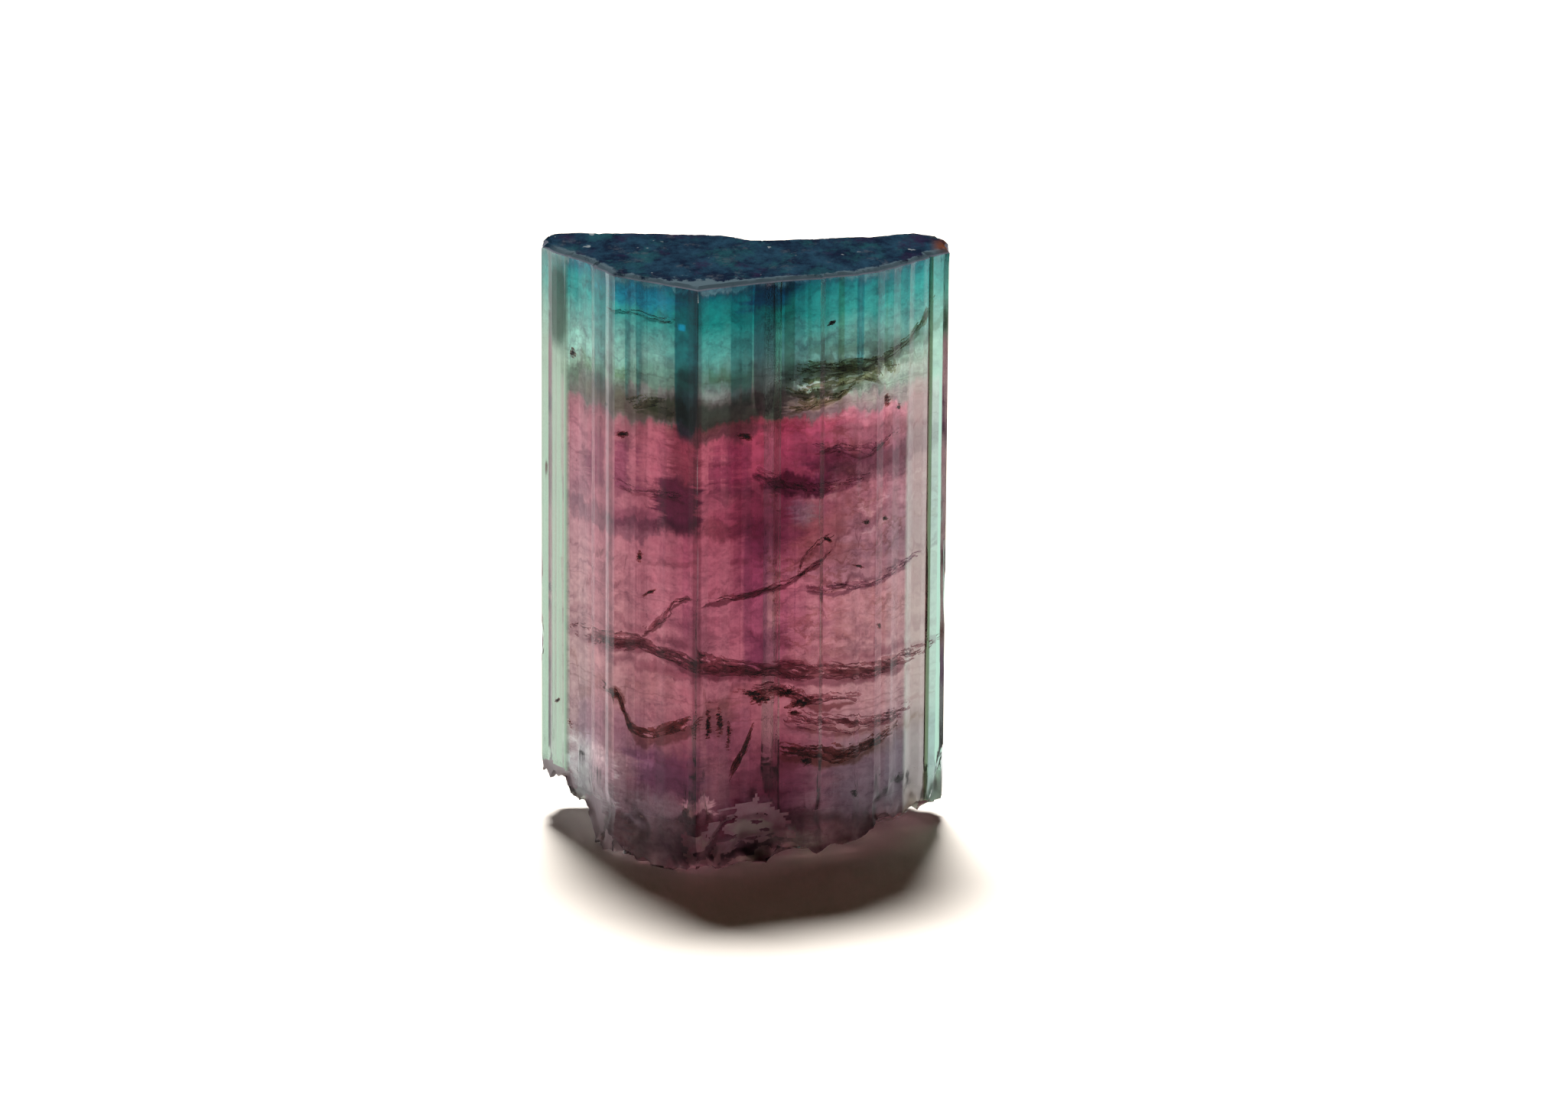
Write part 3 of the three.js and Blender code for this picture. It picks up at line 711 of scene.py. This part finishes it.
fractures = {
    "cell": 0.06,  # mm
    "inset": 0.12,  # behind the wall
    "gap": 0.05,  # smallest distance to any outside face
    "thickness": 0.02,
    "layerGap": 0.11,  # between the films that lie over each other
    "sheets": [
        # course is x and z in mm along the front, reach goes inwards, rise is its slope, and stain is the half
        # width and the colour of the tint that it leaves on the walls
        {"kind": "brown", "reach": 2.2, "rise": 0.04, "fill": 0.75, "layers": 3, "seed": 1,
         "stain": (0.2, (0.44, 0.3, 0.36)),
         "course": [(-6.3, 8.1), (-3.9, 8.6), (-2.0, 8.2), (-0.9, 7.9), (0.9, 7.6), (2.4, 7.3),
                    (5.0, 7.1), (6.4, 7.2), (7.2, 7.4)]},
        {"kind": "brown", "reach": 0.6, "rise": 0.0, "fill": 0.9, "layers": 2, "seed": 2,
         "stain": (0.1, (0.3, 0.18, 0.22)),
         "course": [(3.4, 12.3), (2.4, 11.6), (1.6, 11.15), (0.2, 10.95), (-1.1, 10.8), (-1.7, 10.75)]},
        {"kind": "brown", "reach": 0.5, "rise": 0.0, "fill": 0.9, "layers": 2, "seed": 3,
         "stain": (0.11, (0.26, 0.16, 0.18)),
         "course": [(-1.9, 11.05), (-2.6, 10.65), (-3.0, 9.9), (-3.4, 9.6), (-3.9, 9.1)]},
        {"kind": "brown", "reach": 0.5, "rise": 0.0, "fill": 0.8, "layers": 2, "seed": 22,
         "course": [(3.5, 13.0), (2.9, 12.7), (2.3, 12.1), (2.1, 11.5)]},
        {"kind": "rust", "reach": 1.0, "rise": 0.1, "fill": 0.8, "layers": 3, "seed": 4,
         "stain": (0.26, (0.4, 0.28, 0.26)),
         "course": [(-5.3, 6.5), (-4.75, 6.5), (-4.5, 5.8), (-4.2, 5.2), (-3.3, 5.15),
                    (-2.4, 5.6), (-1.7, 5.9)]},
        {"kind": "rust", "reach": 1.6, "rise": 0.2, "fill": 0.9, "layers": 4, "seed": 6,
         "course": [(0.2, 5.0), (-0.1, 4.2), (-0.5, 3.6)]},
        {"kind": "rust", "reach": 2.2, "rise": 0.06, "fill": 0.55, "layers": 3, "seed": 7,
         "stain": (0.16, (0.55, 0.42, 0.34)),
         "course": [(1.3, 4.3), (2.4, 4.1), (3.6, 3.8), (5.0, 4.1), (5.6, 4.4)]},
        {"kind": "brown", "reach": 2.2, "rise": 0.05, "fill": 0.4, "layers": 3, "seed": 8,
         "stain": (0.08, (0.62, 0.48, 0.5)),
         "course": [(1.6, 5.6), (2.8, 5.2), (4.4, 4.9), (5.4, 5.0), (6.2, 5.1)]},
        {"kind": "brown", "reach": 1.6, "rise": 0.05, "fill": 0.6, "layers": 2, "seed": 19,
         "stain": (0.17, (0.36, 0.22, 0.22)),
         "course": [(0.2, 6.9), (1.5, 6.9), (2.6, 6.3), (4.4, 6.2)]},
        {"kind": "olive", "reach": 1.2, "rise": 0.08, "fill": 0.65, "layers": 3, "seed": 9,
         "stain": (0.2, (0.5, 0.46, 0.4)),
         "course": [(7.2, 21.4), (6.8, 20.6), (6.1, 20.0), (5.6, 19.7), (4.6, 19.5), (3.5, 19.5),
                    (1.9, 19.6)]},
        {"kind": "olive", "reach": 2.0, "rise": 0.2, "fill": 0.45, "layers": 2, "seed": 10,
         "stain": (0.1, (0.45, 0.42, 0.34)),
         "course": [(1.6, 18.9), (2.4, 18.7), (3.4, 18.9), (4.6, 19.1), (5.4, 18.7)]},
        {"kind": "olive", "reach": 1.2, "rise": 0.2, "fill": 0.45, "layers": 2, "seed": 11,
         "stain": (0.1, (0.45, 0.42, 0.32)),
         "course": [(1.7, 18.0), (2.6, 18.2), (3.6, 18.4), (4.2, 18.7)]},
        {"kind": "olive", "reach": 1.4, "rise": 0.15, "fill": 0.5, "layers": 2, "seed": 12,
         "stain": (0.1, (0.45, 0.5, 0.36)),
         "course": [(-4.2, 18.1), (-3.4, 18.3), (-2.6, 18.2)]},
        {"kind": "plum", "reach": 1.4, "rise": 0.1, "fill": 0.45, "layers": 2, "seed": 14,
         "stain": (0.12, (0.5, 0.34, 0.45)),
         "course": [(0.3, 15.6), (1.6, 14.9), (3.4, 14.7), (4.6, 15.0)]},
        {"kind": "plum", "reach": 1.2, "rise": 0.1, "fill": 0.45, "layers": 2, "seed": 16,
         "stain": (0.09, (0.45, 0.35, 0.42)),
         "course": [(2.4, 10.9), (3.4, 10.7), (5.1, 10.8), (6.9, 11.3)]},
        {"kind": "plum", "reach": 1.2, "rise": 0.1, "fill": 0.4, "layers": 2, "seed": 17,
         "stain": (0.07, (0.6, 0.42, 0.45)),
         "course": [(2.6, 16.3), (3.6, 16.3), (4.8, 16.0), (5.7, 16.5)]},
        {"kind": "plum", "reach": 1.0, "rise": 0.1, "fill": 0.45, "layers": 2, "seed": 20,
         "stain": (0.06, (0.6, 0.45, 0.5)),
         "course": [(-5.0, 14.9), (-4.0, 14.8), (-3.0, 14.9), (-2.2, 14.8)]},
        {"kind": "teal", "reach": 0.5, "rise": 0.0, "fill": 0.5, "layers": 2, "seed": 18,
         "stain": (0.06, (0.3, 0.5, 0.5)),
         "course": [(-5.2, 21.8), (-4.2, 21.9), (-3.2, 21.8), (-2.6, 21.9)]},
    ],
    "colours": {
        "brown": ((0.56, 0.38, 0.42), (0.8, 0.6, 0.63)),
        "rust": ((0.46, 0.27, 0.24), (0.68, 0.45, 0.4)),
        "olive": ((0.5, 0.48, 0.34), (0.78, 0.74, 0.58)),
        "plum": ((0.68, 0.52, 0.62), (0.86, 0.74, 0.8)),
        "teal": ((0.3, 0.5, 0.52), (0.6, 0.75, 0.75)),
    },
    # thin films and specks let light through
    "ior": 1.02,
    "clearness": 0.92,
    "roughness": 0.3,
}


class Inside:
    # answers where the front wall is and what lies within the crystal
    def __init__(self, thing):
        self.tree = BVHTree.FromPolygons([v.co.copy() for v in thing.data.vertices],
                                         [tuple(p.vertices) for p in thing.data.polygons])

    def frontAt(self, x, z):
        hit = self.tree.ray_cast(Vector((x, -20, z)) * mm, Vector((0, 1, 0)))[0]
        return hit.y / mm if hit else None

    def holds(self, spot, gap):
        place, normal, index, distance = self.tree.find_nearest(spot)
        return distance > gap * mm and (spot - place).dot(normal) < 0


def along(course, share):
    # the place at a share of a course's length
    lengths = [math.dist(a, b) for a, b in zip(course, course[1:])]
    rest = share * sum(lengths)
    for (a, b), length in zip(zip(course, course[1:]), lengths):
        if rest <= length:
            t = rest / length
            return a[0] + (b[0] - a[0]) * t, a[1] + (b[1] - a[1]) * t
        rest -= length
    return course[-1]


def growFilm(whole, sheet, layer, inside):
    # one ragged film of a fracture, added to the bmesh of its kind
    s = fractures
    course, seed = sheet["course"], sheet["seed"] + 31 * layer
    length = sum(math.dist(a, b) for a, b in zip(course, course[1:]))
    draw = random.Random(seed)
    shape = bmesh.new()
    cellsAlong, cellsIn = int(length / s["cell"]), int(sheet["reach"] / s["cell"])
    bmesh.ops.create_grid(shape, x_segments=cellsAlong, y_segments=cellsIn, size=0.5)
    shares = {}
    for v in shape.verts:
        u, depth = v.co.x + 0.5, (v.co.y + 0.5) * sheet["reach"]
        x, z = along(course, u)
        wander = noise.noise(Vector((x * 0.9, depth * 0.8, sheet["seed"] * 7.3)))
        ripple = noise.noise(Vector((x * 3.1, depth * 2.2, seed * 3.1)))
        front = inside.frontAt(x, z)
        y = (front if front is not None else 0) + s["inset"] + depth
        z += sheet["rise"] * depth + 0.16 * wander + 0.1 * ripple + s["layerGap"] * layer
        shares[v] = (u, depth / sheet["reach"])
        v.co = Vector((x, y, z)) * mm
    gone = []
    for f in shape.faces:
        u = sum(shares[v][0] for v in f.verts) / len(f.verts)
        deep = sum(shares[v][1] for v in f.verts) / len(f.verts)
        x, y, z = f.calc_center_median() / mm
        grain = noise.noise(Vector((x * 0.9, y * 2.5, seed * 5.7)))
        grain += 0.6 * noise.noise(Vector((x * 2.8, y * 7.0, seed)))
        fade = smoothStep(0, 0.15, u) * smoothStep(0, 0.15, 1 - u) * (1 - 0.6 * deep)
        cover = sheet["fill"] * (0.15 + 0.85 * fade) + 0.1 * draw.uniform(-1, 1)
        if grain < 0.5 - cover or not all(inside.holds(v.co, s["gap"]) for v in f.verts):
            gone.append(f)
    bmesh.ops.delete(shape, geom=gone, context="FACES")
    bmesh.ops.solidify(shape, geom=shape.faces[:], thickness=s["thickness"] * mm)
    part = bpy.data.meshes.new("part")
    shape.to_mesh(part)
    shape.free()
    whole.from_mesh(part)
    bpy.data.meshes.remove(part)


def growFractures(kind, inside):
    whole = bmesh.new()
    for sheet in fractures["sheets"]:
        if sheet["kind"] == kind:
            for layer in range(sheet["layers"]):
                growFilm(whole, sheet, layer, inside)
    bmesh.ops.recalc_face_normals(whole, faces=whole.faces)
    thing = newObject(kind + "_fractures", whole)
    thing.data.materials.append(paintMineral(kind, *fractures["colours"][kind]))
    return thing


def paintMineral(name, dark, light):
    look, tree, shader = newLook(name + "_inclusion")
    grain = noiseAt(tree, millimetres(tree), 1.7, detail=5, roughness=0.7)
    colour = mixColour(tree, mapTo(tree, grain, 0.4, 0.65), (*dark, 1), (*light, 1))
    tree.links.new(colour, shader.inputs["Base Color"])
    shader.inputs["Roughness"].default_value = fractures["roughness"]
    shader.inputs["IOR"].default_value = fractures["ior"]
    shader.inputs["Transmission Weight"].default_value = fractures["clearness"]
    return look


# small flakes and crystals caught inside

flakes = {
    "gap": 0.05,  # mm from any outside face
    "perSquareMm": 1000,
    "plate": (0.03, 0.07),  # mm, smallest and largest radius
    "spread": 0.42,  # how far the plates scatter, as a share of the half sizes
    "kinds": {
        "dark": ((0.6, 0.4, 0.4), (0.84, 0.66, 0.64)),
        "pale": ((0.7, 0.74, 0.7), (0.9, 0.9, 0.85)),
    },
    # place x and z in mm, depth behind the wall, half sizes along x, y and z, turn about y in degrees
    "dark": [
        ((-1.4, 5.9), 0.35, (0.11, 0.15, 0.75), 2), ((-0.95, 5.95), 0.35, (0.11, 0.15, 0.6), -4),
        ((-0.6, 5.5), 0.4, (0.09, 0.1, 0.5), 3),
        ((0.2, 6.9), 0.5, (0.55, 0.3, 0.12), 8), ((0.6, 6.6), 0.5, (0.5, 0.3, 0.2), -6),
        ((1.7, 6.75), 0.5, (0.5, 0.3, 0.16), -4),
        ((2.2, 6.3), 0.5, (0.6, 0.3, 0.2), -14), ((2.0, 5.9), 0.5, (0.2, 0.2, 0.08), 10),
        ((-7.3, 5.1), 0.2, (0.35, 0.1, 0.06), -30),
        ((-6.75, 4.4), 0.25, (0.12, 0.12, 0.28), 4), ((-7.6, 9.6), 0.15, (0.1, 0.1, 0.2), 10),
        ((-6.6, 19.4), 0.3, (0.2, 0.15, 0.2), 20),
        ((-3.9, 12.3), 0.4, (0.08, 0.1, 0.35), 2), ((-3.5, 10.9), 0.4, (0.35, 0.1, 0.06), -25),
        ((5.2, 9.0), 0.4, (0.1, 0.1, 0.12), 0),
        ((3.2, 12.8), 0.4, (0.3, 0.1, 0.07), 24), ((4.4, 11.6), 0.4, (0.25, 0.1, 0.07), 12),
        ((-4.5, 17.0), 0.4, (0.35, 0.2, 0.1), -14), ((0.0, 17.2), 0.4, (0.3, 0.2, 0.14), 10),
        ((3.3, 21.4), 0.3, (0.25, 0.1, 0.06), -20),
        ((-5.2, 18.0), 0.4, (0.2, 0.15, 0.1), 5), ((5.4, 18.0), 0.4, (0.15, 0.15, 0.25), -20),
        ((5.9, 17.6), 0.4, (0.2, 0.1, 0.1), 10),
    ],
    "pale": [
        ((4.4, 2.4), 0.15, (0.1, 0.08, 0.2), -10), ((6.1, 2.6), 0.15, (0.06, 0.06, 0.22), 14),
        ((2.5, 4.0), 0.2, (0.3, 0.1, 0.14), -20), ((4.7, 13.3), 0.3, (0.14, 0.1, 0.12), 0),
        ((5.4, 13.3), 0.3, (0.14, 0.1, 0.12), 0),
    ],
}


def growFlakes(kind, inside):
    # each flake is a cloud of small plates, dense in the middle
    s = flakes
    shape = bmesh.new()
    for index, ((x, z), depth, half, turn) in enumerate(s[kind]):
        front = inside.frontAt(x, z)
        if front is None:
            continue
        draw = random.Random(index)
        middle = Vector((x, front + depth + half[1], z))
        tilt = Matrix.Rotation(math.radians(turn), 3, "Y")
        for count in range(int(s["perSquareMm"] * half[0] * half[2]) + 6):
            place = Vector([draw.gauss(0, s["spread"]) * h for h in half])
            made = bmesh.ops.create_icosphere(shape, subdivisions=1, radius=draw.uniform(*s["plate"]))["verts"]
            for v in made:
                plate = Vector((v.co.x * draw.uniform(1.0, 2.2), v.co.y, v.co.z * draw.uniform(0.5, 1.0)))
                v.co = (middle + tilt @ (place + plate)) * mm
            if not all(inside.holds(v.co, s["gap"]) for v in made):
                bmesh.ops.delete(shape, geom=made, context="VERTS")
    bmesh.ops.recalc_face_normals(shape, faces=shape.faces)
    thing = newObject(kind + "_flakes", shape)
    thing.data.materials.append(paintMineral(kind, *s["kinds"][kind]))
    return thing


# floor, light and camera

studio = {
    "floorSize": 3.0,  # m
    "floorShade": 0.9,
    "floorShadeInGlass": 0.55,  # what the crystal sees of it
    "sunStrength": 6.5,
    "sunColour": (1.0, 0.92, 0.83),
    "sunAngle": 15,  # degrees across, for a soft shadow
    "sunLean": (-24.9, -3.0),  # degrees back from overhead and to the left
    "roomColour": (1.0, 0.74, 0.42),
    "roomStrength": 0.03,  # how bright the room is to all but the camera
    "backdropStrength": 1.1,
}


def setStudio():
    s = studio
    shape = bmesh.new()
    bmesh.ops.create_grid(shape, x_segments=1, y_segments=1, size=s["floorSize"] / 2)
    floor = newObject("floor", shape)
    look, tree, shader = newLook("pale_floor")
    path = addNode(tree, "ShaderNodeLightPath")
    inGlass = [s["floorShadeInGlass"] / c for c in s["sunColour"]]
    shade = mixColour(tree, path.outputs["Is Camera Ray"], (*inGlass, 1), (s["floorShade"],) * 3 + (1,))
    tree.links.new(shade, shader.inputs["Base Color"])
    shader.inputs["Roughness"].default_value = 0.9
    shader.inputs["Specular IOR Level"].default_value = 0.0
    floor.data.materials.append(look)
    light = bpy.data.lights.new("overhead_light", "SUN")
    light.energy = s["sunStrength"]
    light.color = s["sunColour"]
    light.angle = math.radians(s["sunAngle"])
    lamp = bpy.data.objects.new("overhead_light", light)
    lamp.rotation_euler = (math.radians(s["sunLean"][0]), math.radians(s["sunLean"][1]), 0)
    lamp.visible_transmission = False  # keeps the shadow dark
    scene.collection.objects.link(lamp)
    room = bpy.data.worlds.new("room")
    room.use_nodes = True
    tree = room.node_tree
    sky = tree.nodes["Background"]
    path = addNode(tree, "ShaderNodeLightPath")
    strength = addNode(tree, "ShaderNodeMix", data_type="FLOAT")
    tree.links.new(path.outputs["Is Camera Ray"], strength.inputs[0])
    strength.inputs[2].default_value = s["roomStrength"]
    strength.inputs[3].default_value = s["backdropStrength"]
    tree.links.new(strength.outputs[0], sky.inputs["Strength"])
    tint = addNode(tree, "ShaderNodeMix", data_type="RGBA")
    tree.links.new(path.outputs["Is Camera Ray"], tint.inputs[0])
    tint.inputs[6].default_value = (*s["roomColour"], 1)
    tint.inputs[7].default_value = (1, 1, 1, 1)
    tree.links.new(tint.outputs[2], sky.inputs["Color"])
    scene.world = room
    scene.view_settings.view_transform = "Standard"


photoCamera = {
    "eye": (1.6, -300.6, 86.55),  # mm
    "pitch": 14.0,  # degrees down
    "roll": 0.41,
    "focalPixels": 10335,
    "imageWidth": 2050,
    "sensor": 36,
}


def setCamera():
    s = photoCamera
    data = bpy.data.cameras.new("photo_camera")
    data.sensor_width = s["sensor"]
    data.lens = s["focalPixels"] / s["imageWidth"] * s["sensor"]
    data.clip_end = 10
    camera = bpy.data.objects.new("photo_camera", data)
    place = Matrix.Translation(Vector(s["eye"]) * mm)
    tilt = Matrix.Rotation(math.radians(90 - s["pitch"]), 4, "X")
    camera.matrix_world = place @ tilt @ Matrix.Rotation(math.radians(s["roll"]), 4, "Z")
    scene.collection.objects.link(camera)
    scene.camera = camera


print("body")
body = growBody()
print("body faces", len(body.data.polygons))
markGroup = makeMarkGroup()
body.data.materials.append(paintTourmaline(markGroup))
body.data.materials.append(paintEndFace(markGroup))
body.data.materials.append(paintFootBreak())
print("inclusions")
inside = Inside(body)
inclusions = [growFractures(kind, inside) for kind in fractures["colours"]]
inclusions += [growFlakes(kind, inside) for kind in flakes["kinds"]]
for thing in inclusions:
    print(thing.name, len(thing.data.polygons))
    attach(thing, "root")
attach(body, "root")
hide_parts("tourmaline_crystal")
cadNode.hide_render = True
print("studio")
setStudio()
setCamera()
